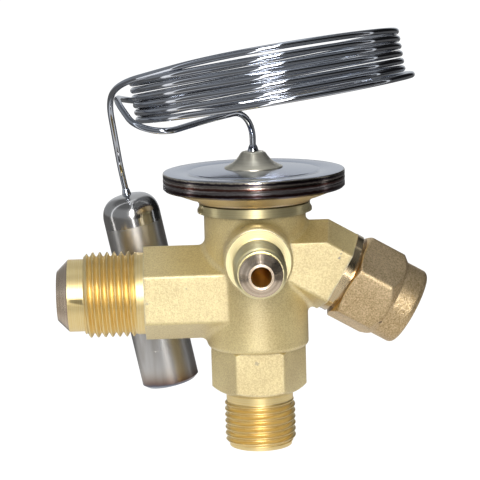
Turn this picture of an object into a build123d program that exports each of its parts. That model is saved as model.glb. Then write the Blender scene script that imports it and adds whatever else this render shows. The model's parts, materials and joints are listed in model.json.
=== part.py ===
from build123d import *
from math import cos, sin, tan, radians, pi, sqrt
import os

# Angle-type refrigerant expansion valve with flare ports: +Z up along the trunk, origin where
# the inlet thread starts, outlet to -X, equalizer port to -Y, superheat spindle to +X and down.

# Flare threads, plain at their major diameter
inlet_thread_d = 15.875
inlet_thread_length = 9.7
inlet_nose_d = 14.0
inlet_nose_length = 1.1
inlet_bore_d = 10.4
outlet_thread_d = 19.05
outlet_thread_length = 12.0
outlet_bore_d = 9.2
equalizer_thread_d = 11.112
equalizer_thread_length = 11.6
equalizer_bore_d = 4.36
runout_length = 1.35
runout_depth = 0.45
thread_bevel = 0.45

# Flare noses: plain pilot, then a 45 degree seat down to the lip
outlet_pilot_d = 16.1
outlet_pilot_length = 3.5
outlet_lip_d = 11.06
equalizer_pilot_d = 9.2
equalizer_pilot_length = 1.5
equalizer_lip_d = 5.3

# Forged body
wrench_flats = 18.5
hex_rounding = 0.8
outlet_hex_turn = 30
trunk_d = 22.6
trunk_ledge_rounding = 1.0
inlet_hex_height = 10.6
inlet_hex_chamfer = 1.5
outlet_rise = 12.55
outlet_hex_reach = 25.0
equalizer_drop = 4.83
equalizer_reach = 19.2
equalizer_boss_d = 15.0
boss_rounding = 0.6
equalizer_ring_d = 13.9
equalizer_ring_height = 1.2
outlet_fillet = 1.5
equalizer_fillet = 2.0
collar_d = 22.3
collar_height = 1.95
trunk_rise = 3.65
collar_lug_reach = 12.3
collar_lug_width = 9.6
collar_lug_height = 1.4

# Spindle branch, tilted down from the trunk
spindle_tilt = 30.0
spindle_rise = 14.3
branch_reach = 21.0
branch_roof = 9.9
branch_keel = 9.2
branch_roof_drop = 3.7
branch_shoulder_rise = 1.2
spindle_fillet = 1.0
shoulder_ring_d = 18.4
shoulder_ring_height = 1.5
neck_d = 16.0
neck_length = 10.5
packing_bore_d = 9.0
packing_bore_depth = 11.5
spindle_thread_d = 7.0
spindle_thread_depth = 7.3
thrust_pin_d = 4.0

# Chambers down the trunk
element_thread_d = 19.0
element_thread_length = 5.5
chamber_drop = 6.9
bush_d = 11.2
bush_height = 2.2
gallery_d = 10.0
orifice_web = 2.0
orifice_drop = 5.7
orifice_nose_d = 7.2

# Diaphragm element
element_d = 40.2
rim_height = 3.9
cover_plate = 1.2
cover_rim = 1.65
cover_land_d = 34.6
cover_step = 0.12
diaphragm_gauge = 0.3
rim_land = 0.8
groove_depth = 0.5
base_gauge = 1.2
bowl_mouth_d = 30.0
bowl_foot_d = 25.0
bowl_height = 1.2
flange_rise = 1.65
spigot_wall = 1.5
element_gasket_gauge = 0.3
nipple_d = 12.9
nipple_top_d = 4.2
nipple_height = 4.3
nipple_foot = 0.7
nipple_spigot_d = 5.0

# Capillary and sensing bulb
capillary_d = 1.4
coil_radius = 29.3
coil_pitch = 1.5
coil_fan = 0.37
coil_flare = 1.9
coil_turns = 6.625
coil_offset = 3.5
coil_rise = 20.35
coil_roll = 8.5
coil_lean = 5.05
coil_corners = 8
bulb_d = 13.2
bulb_length = 45.6
bulb_offset = (-20.05, 17.8)
bulb_drop = 24.9
bulb_tilt = 11.1
bulb_wall = 0.8
bulb_dome = 5.2
bulb_cap_height = 2.1
bulb_cap_crown = 0.6

# Superheat spring train
spring_wire = 1.3
spring_mean_d = 11.2
spring_turns = 4.0
seat_d = 14.0
seat_clearance = 0.5
seat_height = 3.6
seat_drop = 0.9
seat_recess = 0.8
pad_d = 24.0
pad_gauge = 1.35
pad_hub_d = 14.4
pad_hub_height = 0.7
rod_d = 3.0
rod_foot_rise = 2.5
rod_clearance = 0.05
rod_seal_d = 6.4
rod_seal_height = 0.8

# Spindle and its gland
spindle_d = 4.4
spindle_end = 35.6
spindle_square = 3.2
spindle_square_length = 5.0
pin_tip_reach = 7.0
thread_inner_reach = 12.6
spindle_travel = 1.0
travel_margin = 0.1
spindle_clearance = 0.05
gland_washer_height = 1.0
packing_height = 4.0
gland_height = 5.0
gland_slot = 1.2

# Seal cap
cap_gap = 0.8
cap_length = 16.2
cap_hex_length = 9.7
cap_hex_turn = 15
cap_collar_d = 17.7
cap_end_wall = 2.3
cap_lead_in = 1.2
cap_gasket_gauge = 0.8
cap_clearance = 0.05

# Orifice and strainer
orifice_length = 11.0
orifice_d = 3.2
orifice_land = 2.5
cone_chamber_d = 6.4
orifice_seal_gauge = 0.5
cone_d = 4.8
cone_height = 2.6
cone_stem_d = 1.8
cone_skirt = 0.8
cone_clearance = 0.05
cone_spring_wire = 0.5
cone_spring_mean_d = 4.4
cone_spring_turns = 5.0
retainer_height = 1.5
retainer_hole_d = 2.4
strainer_d = 8.6
strainer_gauge = 0.4
strainer_length = 12.5
strainer_collar_height = 2.0

# Levels and radii that follow from the sizes above
wrench_corner = wrench_flats / sqrt(3)
chamber_d = seat_d + 2 * seat_clearance
inlet_hex_foot = inlet_thread_length + runout_length
inlet_hex_top = inlet_hex_foot + inlet_hex_height
outlet_height = inlet_hex_top + outlet_rise
spindle_height = outlet_height + spindle_rise
equalizer_height = spindle_height - equalizer_drop
trunk_top = spindle_height + trunk_rise
branch_shoulder = spindle_height + branch_shoulder_rise
chamber_floor = spindle_height - chamber_drop
seat_level = spindle_height - seat_drop
orifice_top = outlet_height - orifice_drop
rod_foot = orifice_top + rod_foot_rise
collar_top = trunk_top + collar_height
element_seat = collar_top + element_gasket_gauge
rim_foot = element_seat + bowl_height + flange_rise
element_top = rim_foot + rim_height
diaphragm_top = element_top - cover_rim
diaphragm_foot = diaphragm_top - diaphragm_gauge
spigot_foot = collar_top - element_thread_length
bush_foot = chamber_floor - bush_height
orifice_shoulder = orifice_top - orifice_web
orifice_foot = orifice_shoulder - orifice_seal_gauge - orifice_length
spring_top = diaphragm_foot - pad_gauge - pad_hub_height
cap_foot = branch_reach + shoulder_ring_height + cap_gap
neck_end = branch_reach + shoulder_ring_height + neck_length
packing_floor = neck_end - packing_bore_depth
spindle_head_reach = thread_inner_reach + spindle_travel + travel_margin
spindle_dir = Vector(cos(radians(spindle_tilt)), 0, -sin(radians(spindle_tilt)))
spindle_origin = Vector(0, 0, spindle_height)
outlet_tip = (outlet_hex_reach + runout_length + outlet_thread_length + outlet_pilot_length
              + (outlet_pilot_d - outlet_lip_d) / 2)
equalizer_tip = (equalizer_reach + runout_length + equalizer_thread_length
                 + equalizer_pilot_length + (equalizer_pilot_d - equalizer_lip_d) / 2)


def spindle_plane(reach):
    """Plane across the spindle axis at a distance from the trunk axis; its X is level with Y."""
    return Plane(spindle_origin + spindle_dir * reach, x_dir=(0, 1, 0), z_dir=spindle_dir)


def turned(profile, plane=Plane.XY):
    """Solid of revolution about the plane's Z axis from (radius, height) points."""
    outline = make_face(Polyline(*[(r, 0, z) for r, z in profile], close=True))
    return plane.location * revolve(outline, Axis.Z)


def rod(d, start, length, plane=Plane.XY):
    """Cylinder along the plane's Z axis, starting at a height on it."""
    return plane.location * Pos(0, 0, start) * Cylinder(
        d / 2, length, align=(Align.CENTER, Align.CENTER, Align.MIN))


def ring(outer_d, inner_d, start, length, plane=Plane.XY):
    return rod(outer_d, start, length, plane) - rod(inner_d, start, length, plane)


def hexagon(flats, length, plane, turn=0.0, rounding=0.0):
    """Hexagonal prism standing on a plane, with its long edges rounded."""
    face = RegularPolygon(flats / 2, 6, major_radius=False, rotation=turn)
    prism = extrude(face, length)
    if rounding > 0:
        prism = fillet(prism.edges().filter_by(Axis.Z), rounding)
    return plane.location * prism


outlet_plane = Plane((0, 0, outlet_height), x_dir=(0, 1, 0), z_dir=(-1, 0, 0))
equalizer_plane = Plane((0, 0, equalizer_height), x_dir=(1, 0, 0), z_dir=(0, -1, 0))


def flare_end(thread_d, thread_start, thread_length, pilot_d, pilot_length, lip_d, plane):
    """Turned male flare end: run-out, thread, pilot and 45 degree seat."""
    first = thread_start + runout_length
    last = first + thread_length
    tip = last + pilot_length + (pilot_d - lip_d) / 2
    bevel = thread_bevel
    return turned([
        (0, 0), (thread_d / 2 - runout_depth, 0), (thread_d / 2 - runout_depth, first),
        (thread_d / 2, first), (thread_d / 2, last - bevel), (thread_d / 2 - bevel, last),
        (pilot_d / 2, last), (pilot_d / 2, last + pilot_length), (lip_d / 2, tip), (0, tip),
    ], plane)


def spindle_branch():
    """Flattened hexagonal branch, cut level on top where it leaves the trunk."""
    half = wrench_flats / 2
    slope = branch_roof_drop
    section = make_face(Polyline(
        (0, -branch_keel), (half, -branch_keel + slope), (half, branch_roof - slope),
        (0, branch_roof), (-half, branch_roof - slope), (-half, -branch_keel + slope), close=True))
    tilted = extrude(section, branch_reach)
    tilted = fillet(tilted.edges().filter_by(Axis.Z), hex_rounding)
    # the sketch's Y must point up and outwards, so the local frame is turned about the axis
    across = Plane(spindle_origin, x_dir=(0, -1, 0), z_dir=spindle_dir)
    tilted = across.location * tilted
    roof = branch_shoulder
    length = branch_reach + branch_roof
    level = make_face(Polyline(
        (half + 1, 0), (half + 1, roof - slope - 0.5), (0, roof), (-half - 1, roof - slope - 0.5),
        (-half - 1, 0), close=True))
    level = extrude(level, length)
    level = fillet(level.edges().filter_by(Axis.Z).sort_by(Axis.Y)[-1], hex_rounding)
    level = Plane((0, 0, 0), x_dir=(0, 1, 0), z_dir=(1, 0, 0)).location * level
    return tilted & level


def on_trunk(edge):
    """Whether an edge lies all along the trunk's skin, away from its two ends."""
    points = [edge.position_at(t) for t in (0, 0.25, 0.5, 0.75, 1)]
    skin = all(abs(sqrt(p.X ** 2 + p.Y ** 2) - trunk_d / 2) < 0.02 for p in points)
    seam = edge.geom_type == GeomType.LINE and abs(points[2].Y) < 0.01
    level = points[0].Z - points[2].Z
    circle = edge.geom_type == GeomType.CIRCLE and abs(level) < 1e-6
    return skin and not seam and not circle


def rooted(branch, trunk, radius):
    """Branch fused to the trunk, with a fillet along the line where they meet."""
    joined = trunk + branch
    return fillet(joined.edges().filter_by(on_trunk), radius)


def inlet_hex():
    foot, top, bottom = wrench_corner, inlet_hex_top, inlet_hex_foot
    prism = hexagon(wrench_flats, inlet_hex_height, Plane((0, 0, bottom)), rounding=hex_rounding / 2)
    cone = turned([
        (0, bottom), (foot - 2 * inlet_hex_chamfer, bottom), (foot, bottom + inlet_hex_chamfer),
        (foot, top - 0.6), (foot - 0.8, top), (0, top)])
    return prism & cone


def collar():
    """Turned collar under the element, with the two stubs of the forging's lugs."""
    lug_foot = collar_top - collar_lug_height
    lug = Pos(0, 0, lug_foot) * Box(
        2 * collar_lug_reach, collar_lug_width, collar_lug_height,
        align=(Align.CENTER, Align.CENTER, Align.MIN))
    lug &= turned([
        (0, lug_foot), (collar_d / 2, lug_foot), (collar_lug_reach, lug_foot + 0.7),
        (collar_lug_reach, collar_top), (0, collar_top)])
    return rod(collar_d, trunk_top, collar_height) + lug


def valve_body():
    trunk_r = trunk_d / 2
    trunk = turned([(0, inlet_hex_top), (trunk_r, inlet_hex_top), (trunk_r, trunk_top), (0, trunk_top)])
    outlet = hexagon(wrench_flats, outlet_hex_reach, outlet_plane, outlet_hex_turn, hex_rounding)
    boss_reach = equalizer_reach - equalizer_ring_height
    boss = rod(equalizer_boss_d, 0, boss_reach, equalizer_plane)
    body = rooted(outlet, trunk, outlet_fillet) + rooted(spindle_branch(), trunk, spindle_fillet)
    body += rooted(boss, trunk, equalizer_fillet)
    ledge = [e for e in body.edges().filter_by(GeomType.CIRCLE)
             if abs(e.position_at(0.5).Z - inlet_hex_top) < 0.01]
    body = fillet(ledge, trunk_ledge_rounding)
    boss_rim = [e for e in body.edges().filter_by(GeomType.CIRCLE)
                if abs(e.position_at(0.5).Y + boss_reach) < 0.01]
    body = fillet(boss_rim, boss_rounding)
    body += inlet_hex()
    body += collar()

    # turned ends of the four branches
    inlet_r = inlet_thread_d / 2
    body += turned([
        (0, -inlet_nose_length), (inlet_nose_d / 2, -inlet_nose_length),
        (inlet_nose_d / 2, -thread_bevel), (inlet_r - thread_bevel, -thread_bevel), (inlet_r, 0),
        (inlet_r, inlet_thread_length),
        (inlet_r - runout_depth, inlet_thread_length), (inlet_r - runout_depth, inlet_hex_foot),
        (0, inlet_hex_foot)])
    body += flare_end(
        outlet_thread_d, outlet_hex_reach, outlet_thread_length,
        outlet_pilot_d, outlet_pilot_length, outlet_lip_d, outlet_plane)
    body += rod(equalizer_ring_d, boss_reach, equalizer_ring_height, equalizer_plane)
    body += flare_end(
        equalizer_thread_d, equalizer_reach, equalizer_thread_length,
        equalizer_pilot_d, equalizer_pilot_length, equalizer_lip_d, equalizer_plane)
    neck = spindle_plane(branch_reach)
    body += rod(shoulder_ring_d, 0, shoulder_ring_height, neck)
    body += rod(neck_d, 0, neck_end - branch_reach, neck)

    # chambers down the trunk: element thread, spring chamber, bush seat, gallery, orifice hole
    body -= turned([
        (0, orifice_shoulder), (orifice_nose_d / 2, orifice_shoulder),
        (orifice_nose_d / 2, orifice_top), (gallery_d / 2, orifice_top),
        (gallery_d / 2, bush_foot), (bush_d / 2, bush_foot), (bush_d / 2, chamber_floor),
        (chamber_d / 2, chamber_floor), (chamber_d / 2, spigot_foot),
        (element_thread_d / 2, spigot_foot), (element_thread_d / 2, collar_top), (0, collar_top)])
    body -= rod(inlet_bore_d, -inlet_nose_length, inlet_nose_length + orifice_shoulder)
    body -= rod(outlet_bore_d, 0, outlet_tip, outlet_plane)
    body -= rod(equalizer_bore_d, 0, equalizer_tip, equalizer_plane)

    # spindle bores: thrust pin guide, spindle thread, packing chamber
    body -= rod(thrust_pin_d + 2 * spindle_clearance, 0, thread_inner_reach, spindle_plane(0))
    body -= rod(spindle_thread_d + 2 * spindle_clearance, 0, spindle_thread_depth,
                spindle_plane(thread_inner_reach))
    body -= rod(spindle_d + 2 * spindle_clearance, 0, packing_floor - thread_inner_reach,
                spindle_plane(thread_inner_reach))
    body -= rod(packing_bore_d, 0, packing_bore_depth, spindle_plane(packing_floor))
    return body


def element_cover():
    """Dished top plate of the element, with the nipple's hole in its middle."""
    rim = element_d / 2
    land = cover_land_d / 2
    hole = nipple_spigot_d / 2
    top = element_top
    return turned([
        (hole, top - cover_step), (land - 0.4, top - cover_step), (land, top), (rim - 0.25, top),
        (rim, top - 0.25), (rim, diaphragm_top + groove_depth), (rim - groove_depth, diaphragm_top),
        (land, diaphragm_top), (land - 1.2, top - cover_step - cover_plate),
        (hole, top - cover_step - cover_plate)])


def weld_bead():
    """Bead that closes the groove between cover and base around the diaphragm's edge."""
    rim = element_d / 2
    inner = rim - groove_depth
    crown = (rim + 0.02, (diaphragm_top + diaphragm_foot) / 2)
    upper, lower = (rim - 0.1, diaphragm_top + groove_depth - 0.1), (rim - 0.1, diaphragm_foot - groove_depth + 0.1)
    outline = Polyline(
        (lower[0], 0, lower[1]), (inner, 0, diaphragm_foot), (inner, 0, diaphragm_top),
        (upper[0], 0, upper[1]))
    cap = ThreePointArc((upper[0], 0, upper[1]), (crown[0], 0, crown[1]), (lower[0], 0, lower[1]))
    return revolve(make_face(outline + cap), Axis.Z)


def diaphragm():
    return rod(element_d - 2 * groove_depth, diaphragm_foot, diaphragm_gauge)


def element_base():
    """Lower shell of the element: flange, bowl and threaded spigot in one piece."""
    rim = element_d / 2
    mouth, foot = bowl_mouth_d / 2, bowl_foot_d / 2
    spigot = element_thread_d / 2
    bore = spigot - spigot_wall
    bowl_top = element_seat + bowl_height
    g = base_gauge
    return turned([
        (bore, spigot_foot), (spigot, spigot_foot), (spigot, element_seat), (foot, element_seat),
        (foot + 0.25, element_seat + 0.35), (mouth - 0.9, bowl_top - 0.25), (mouth, bowl_top),
        (rim - 1.6, rim_foot - 0.3), (rim - 0.35, rim_foot), (rim, rim_foot + 0.35),
        (rim, diaphragm_foot - groove_depth), (rim - groove_depth, diaphragm_foot),
        (rim - groove_depth - 2 * g, diaphragm_foot), (mouth + 1.0, bowl_top + g),
        (mouth - 1.6, bowl_top + g - 0.6), (foot, element_seat + g + 0.5), (bore, element_seat + g)])


def element_gasket():
    return ring(collar_d - 0.1, element_thread_d, collar_top, element_gasket_gauge)


def capillary_nipple():
    """Cone brazed into the cover, bored for the capillary."""
    seat = element_top - cover_step
    bore = capillary_d / 2
    half, tip = nipple_d / 2, nipple_top_d / 2
    top = seat + nipple_height
    return turned([
        (bore, seat - cover_plate), (nipple_spigot_d / 2, seat - cover_plate),
        (nipple_spigot_d / 2, seat), (half - 0.25, seat), (half, seat + 0.3),
        (half, seat + nipple_foot), (half - 0.5, seat + nipple_foot + 0.3), (tip, top), (bore, top)])


coil_x = Vector(cos(radians(coil_roll)), 0, sin(radians(coil_roll)))
coil_y = Vector(0, cos(radians(coil_lean)), -sin(radians(coil_lean)))
coil_axis = coil_x.cross(coil_y).normalized()
coil_centre = Vector(coil_offset, 0, element_top + coil_rise)


def coil_corner(turned_by):
    """Corner of the polygon round the coil, after a clockwise turn in degrees from its back."""
    angle = radians(90 - turned_by)
    flare = coil_flare * max(0, cos(radians(turned_by - 90))) if turned_by < 180 else 0
    radius = (coil_radius + flare) / cos(pi / coil_corners)
    front = ((1 - sin(angle)) / 2) ** 2
    middle = coil_turns / 2
    rise = coil_pitch * (turned_by / 360 - middle) + coil_fan * front * (turned_by / 360 - middle)
    return coil_centre + coil_x * radius * cos(angle) + coil_y * radius * sin(angle) \
        + coil_axis * rise


bulb_axis = Vector(-sin(radians(bulb_tilt)), 0, cos(radians(bulb_tilt)))
bulb_foot = Vector(*bulb_offset, outlet_height - bulb_drop)
bulb_plane = Plane(bulb_foot, x_dir=(0, 1, 0), z_dir=bulb_axis)


def capillary_route():
    """Corners of the tube's route: out of the nipple, round the coil and down to the bulb."""
    level = element_top
    lead_in = [
        (0, 0, level - cover_plate), (0, 0, level + 13.45), (-9.0, -10.5, level + 12.75),
        (-19.0, -18.6, level + 10.85), (-25.6, -15.0, level + 12.25), (-30.0, -3.5, level + 17.25),
        (-28.2, 9.5, level + 15.45), (-20.5, 21.8, level + 13.25)]
    step = 360 / coil_corners
    coil = [coil_corner(step * (k - 0.5)) for k in range(round(coil_turns * coil_corners) + 1)]
    bulb_top = bulb_foot + bulb_axis * (bulb_length - bulb_wall)
    lead_out = [(-28.2, -8.6, level + 20.85), (-31.6, 3.0, level + 16.45), bulb_top + bulb_axis * 7.0]
    return lead_in + coil + lead_out + [bulb_top]


def capillary_tube():
    points = [Vector(*p) if isinstance(p, tuple) else p for p in capillary_route()]
    radii = []
    for a, b, c in zip(points, points[1:], points[2:]):
        turn = radians((b - a).get_angle(c - b))
        radii.append(0.47 * min((b - a).length, (c - b).length) / tan(turn / 2))
    print("capillary bend radii", [round(r, 1) for r in radii])
    path = FilletPolyline(*points, radius=radii)
    print("capillary length", round(path.length, 1))
    start = Plane(path.position_at(0), z_dir=path.tangent_at(0))
    return sweep(start * Circle(capillary_d / 2), path=path)


def bulb_shell():
    """Drawn bulb with a domed top, open at its foot, bored for the capillary."""
    r, wall, dome = bulb_d / 2, bulb_wall, bulb_dome
    shoulder = bulb_length - dome
    bore = capillary_d / 2
    inner = r - wall
    outline = Polyline(
        (inner, 0, shoulder), (inner, 0, bulb_cap_height), (r, 0, bulb_cap_height), (r, 0, shoulder))
    crown = bulb_length
    bend = 0.62
    over = Spline((r, 0, shoulder), (r * bend + 0.9, 0, shoulder + dome * 0.78), (bore, 0, crown),
                  tangents=((0, 0, 1), (-1, 0, 0)))
    under = Spline((bore, 0, crown - wall), (inner * bend + 0.8, 0, shoulder + (dome - wall) * 0.78),
                   (inner, 0, shoulder), tangents=((1, 0, 0), (0, 0, -1)))
    lip = Line((bore, 0, crown), (bore, 0, crown - wall))
    return bulb_plane.location * revolve(make_face([outline, over, lip, under]), Axis.Z)


def bulb_end_cap():
    """Welded foot of the bulb, slightly crowned, with a step up inside the shell."""
    r, wall = bulb_d / 2, bulb_wall
    crown = bulb_cap_crown
    return turned([
        (0, 0), (r * 0.55, 0.08), (r - 0.9, crown * 0.6), (r, crown + 0.5), (r, bulb_cap_height),
        (r - wall, bulb_cap_height), (r - wall, bulb_cap_height + 1.2),
        (0, bulb_cap_height + 1.2)], bulb_plane)


def coil_spring(mean_d, wire, low, high, turns, plane=Plane.XY):
    """Compression spring between two levels, its wire just touching both."""
    height = high - low - wire
    path = Helix(pitch=height / turns, height=height, radius=mean_d / 2)
    start = Plane(path @ 0, x_dir=(0, 0, 1), z_dir=path % 0)
    return plane.location * Pos(0, 0, low + wire / 2) * sweep(start * Circle(wire / 2), path=path)


def superheat_spring():
    return coil_spring(spring_mean_d, spring_wire, seat_level - seat_recess, spring_top, spring_turns)


def spring_seat():
    """Lower seat of the spring, bevelled square to the thrust pin that lifts it."""
    r = seat_d / 2
    inner = rod_d / 2 + 0.5
    foot = seat_level - seat_height
    cup = spring_mean_d / 2 + spring_wire / 2 + 0.1
    seat = turned([
        (inner, foot), (r - 0.5, foot), (r, foot + 0.5), (r, seat_level), (cup, seat_level),
        (cup, seat_level - seat_recess), (inner, seat_level - seat_recess)])
    beyond = Box(2 * seat_d, 2 * seat_d, seat_d, align=(Align.CENTER, Align.CENTER, Align.MIN))
    return seat - spindle_plane(pin_tip_reach).location * beyond


def thrust_pin():
    return rod(thrust_pin_d, pin_tip_reach, spindle_head_reach - pin_tip_reach, spindle_plane(0))


def superheat_spindle():
    """Adjusting spindle: threaded head inside, plain shank through the gland, square outer end."""
    head_length = spindle_thread_depth - 2 * (spindle_travel + travel_margin)
    head = rod(spindle_thread_d, spindle_head_reach, head_length, spindle_plane(0))
    shank = rod(spindle_d, spindle_head_reach, spindle_end - spindle_head_reach, spindle_plane(0))
    square = spindle_plane(spindle_end).location * Box(
        spindle_square, spindle_square, 2 * spindle_square_length)
    return head + (shank - (spindle_plane(spindle_end).location * Box(
        2 * spindle_d, 2 * spindle_d, 2 * spindle_square_length) - square))


washer_top = packing_floor + gland_washer_height
packing_top = washer_top + packing_height
spindle_hole_d = spindle_d + 2 * spindle_clearance


def gland_washer():
    return ring(packing_bore_d, spindle_hole_d, packing_floor, gland_washer_height, spindle_plane(0))


def gland_packing():
    return ring(packing_bore_d, spindle_hole_d, washer_top, packing_height, spindle_plane(0))


def gland_nut():
    """Slotted gland screw that squeezes the packing."""
    nut = ring(packing_bore_d, spindle_hole_d, packing_top, gland_height, spindle_plane(0))
    slot = spindle_plane(packing_top + gland_height).location * Box(
        packing_bore_d + 1, gland_slot, 2 * gland_slot)
    return nut - slot


def seal_cap():
    """Blind cap over the spindle: hexagon next to the body, turned collar at the closed end."""
    plane = spindle_plane(cap_foot)
    corner = wrench_corner
    hex_top = cap_lead_in + cap_hex_length
    prism = hexagon(wrench_flats, hex_top, plane, cap_hex_turn, hex_rounding / 2)
    bevel = 1.6
    prism &= turned([
        (0, 0), (corner - 1.5, 0), (corner, 1.5 * 0.62), (corner, hex_top - bevel * 0.7),
        (corner - bevel * 1.1, hex_top), (0, hex_top)], plane)
    r = cap_collar_d / 2
    collar_part = turned([
        (0, hex_top - 0.1), (r - 0.35, hex_top - 0.1), (r - 0.35, hex_top + 0.9), (r, hex_top + 1.1),
        (r, cap_length - 1.3), (r - 1.1, cap_length), (0, cap_length)], plane)
    bore_r = neck_d / 2 + cap_clearance
    shoulder = neck_end + cap_gasket_gauge - cap_foot
    hollow = packing_bore_d / 2 + 1.0
    cavity = turned([
        (0, 0), (bore_r, 0), (bore_r, shoulder), (hollow, shoulder),
        (hollow, cap_length - cap_end_wall), (0, cap_length - cap_end_wall)], plane)
    return prism + collar_part - cavity


def cap_gasket():
    return ring(neck_d, packing_bore_d + 1.0, neck_end, cap_gasket_gauge, spindle_plane(0))


def pressure_pad():
    """Pad under the diaphragm, with a hub that the spring pushes up."""
    r, hub = pad_d / 2, pad_hub_d / 2
    under = diaphragm_foot - pad_gauge
    bore = rod_d / 2
    return turned([
        (bore, spring_top - 1.5), (bore + 1.3, spring_top - 1.5), (bore + 1.3, spring_top),
        (hub, spring_top), (hub, under), (r - 0.5, under), (r, under + 0.5), (r, diaphragm_foot),
        (bore, diaphragm_foot)])


def push_rod():
    return rod(rod_d, rod_foot, diaphragm_foot - rod_foot)


def guide_bush():
    """Pressed bush that guides the push rod, recessed for its seal."""
    bore = rod_d / 2 + rod_clearance
    seal_seat = chamber_floor - rod_seal_height - 0.2
    return turned([
        (bore, bush_foot), (bush_d / 2, bush_foot), (bush_d / 2, chamber_floor),
        (rod_seal_d / 2, chamber_floor), (rod_seal_d / 2, seal_seat), (bore, seal_seat)])


def rod_seal():
    seat = chamber_floor - rod_seal_height - 0.2
    return ring(rod_seal_d, rod_d + 2 * rod_clearance, seat, rod_seal_height)


def orifice_body():
    """Orifice insert clamped against the web, with the cone's chamber below its land."""
    r, nose = inlet_bore_d / 2, orifice_nose_d / 2
    hole, room = orifice_d / 2, cone_chamber_d / 2
    flange = orifice_shoulder - orifice_seal_gauge
    land = flange - orifice_land
    return turned([
        (hole, land), (hole, orifice_top + 1.0), (nose - 0.4, orifice_top + 1.0),
        (nose, orifice_top + 0.6), (nose, flange), (r, flange), (r, orifice_foot),
        (room, orifice_foot), (room, land)])


def orifice_seal():
    return ring(inlet_bore_d, orifice_nose_d, orifice_shoulder - orifice_seal_gauge, orifice_seal_gauge)


cone_seat_level = orifice_shoulder - orifice_seal_gauge - orifice_land


def valve_cone():
    """Metering cone under the orifice, with the stem that the push rod presses."""
    r, stem = cone_d / 2, cone_stem_d / 2
    slope = cone_height / (r - stem)
    touch = cone_seat_level - cone_clearance + (orifice_d / 2 - stem) * slope
    base = touch - cone_height
    guide = cone_spring_mean_d / 2 - cone_spring_wire / 2 - 0.1
    return turned([
        (0, base - cone_skirt - 0.8), (guide, base - cone_skirt - 0.8), (guide, base - cone_skirt),
        (r, base - cone_skirt), (r, base), (stem, touch), (stem, rod_foot), (0, rod_foot)])


def cone_foot_level():
    r, stem = cone_d / 2, cone_stem_d / 2
    slope = cone_height / (r - stem)
    touch = cone_seat_level - cone_clearance + (orifice_d / 2 - stem) * slope
    return touch - cone_height - cone_skirt


def cone_spring():
    return coil_spring(cone_spring_mean_d, cone_spring_wire, orifice_foot + retainer_height,
                       cone_foot_level(), cone_spring_turns)


def spring_retainer():
    """Drilled plug that carries the cone's spring."""
    plug = rod(cone_chamber_d, orifice_foot, retainer_height)
    holes = PolarLocations(cone_chamber_d / 2 - 1.3, 4)
    for place in holes:
        plug -= place * rod(0.9, orifice_foot, retainer_height)
    return plug - rod(retainer_hole_d, orifice_foot, retainer_height)


strainer_top = orifice_foot
strainer_foot = strainer_top - strainer_length


def strainer_screen():
    """Screen cup below the orifice, its closed end facing the inlet."""
    cup = rod(strainer_d, strainer_foot, strainer_length)
    return cup - rod(strainer_d - 2 * strainer_gauge, strainer_foot + strainer_gauge, strainer_length)


def strainer_collar():
    return ring(inlet_bore_d, strainer_d, strainer_top - strainer_collar_height, strainer_collar_height)


nodes = [
    valve_body, element_cover, weld_bead, diaphragm, element_base, element_gasket,
    capillary_nipple, capillary_tube, bulb_shell, bulb_end_cap, pressure_pad, push_rod,
    guide_bush, rod_seal, superheat_spring, spring_seat, thrust_pin, superheat_spindle,
    gland_washer, gland_packing, gland_nut, seal_cap, cap_gasket, orifice_body, orifice_seal,
    valve_cone, cone_spring, spring_retainer, strainer_screen, strainer_collar,
]

os.makedirs("parts", exist_ok=True)
for make in nodes:
    export_step(make(), "parts/" + make.__name__ + ".step")
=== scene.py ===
import json
import math

import bpy
import numpy as np
from mathutils import Matrix, Vector


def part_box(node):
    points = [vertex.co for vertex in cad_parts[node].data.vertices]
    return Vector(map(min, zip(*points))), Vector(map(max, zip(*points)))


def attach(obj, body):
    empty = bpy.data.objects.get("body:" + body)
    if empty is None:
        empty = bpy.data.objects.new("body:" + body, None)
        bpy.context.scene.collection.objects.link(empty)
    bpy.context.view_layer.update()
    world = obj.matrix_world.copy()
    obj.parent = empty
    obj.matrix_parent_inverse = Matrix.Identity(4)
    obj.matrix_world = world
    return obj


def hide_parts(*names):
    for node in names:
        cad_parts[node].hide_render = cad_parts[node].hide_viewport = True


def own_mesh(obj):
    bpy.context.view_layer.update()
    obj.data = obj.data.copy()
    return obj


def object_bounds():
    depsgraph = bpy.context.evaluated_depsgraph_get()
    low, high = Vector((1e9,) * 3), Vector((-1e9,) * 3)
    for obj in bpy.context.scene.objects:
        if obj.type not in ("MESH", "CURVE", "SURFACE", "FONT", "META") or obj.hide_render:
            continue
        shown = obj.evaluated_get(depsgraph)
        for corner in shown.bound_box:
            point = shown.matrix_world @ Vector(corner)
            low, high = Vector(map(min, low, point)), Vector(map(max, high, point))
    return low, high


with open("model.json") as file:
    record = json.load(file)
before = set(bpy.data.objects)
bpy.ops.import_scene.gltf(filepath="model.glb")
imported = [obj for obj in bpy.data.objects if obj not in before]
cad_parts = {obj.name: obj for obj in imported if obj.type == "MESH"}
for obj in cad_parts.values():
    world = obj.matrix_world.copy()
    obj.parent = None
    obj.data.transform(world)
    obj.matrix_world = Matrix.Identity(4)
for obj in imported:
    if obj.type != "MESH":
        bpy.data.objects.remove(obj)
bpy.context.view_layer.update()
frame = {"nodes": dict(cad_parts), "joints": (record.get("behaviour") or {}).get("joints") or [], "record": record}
nodes = frame["nodes"]
mm = 0.001
print("frame loaded:", len(nodes), "nodes")


def mountOf(name):
    return next(m for m in frame["record"]["mounts"] if m["name"] == name)


def jointOf(name):
    return next(j for j in frame["joints"] if j["name"] == name)


def inMillimetres(point):
    return np.array(point, float) / mm


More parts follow.
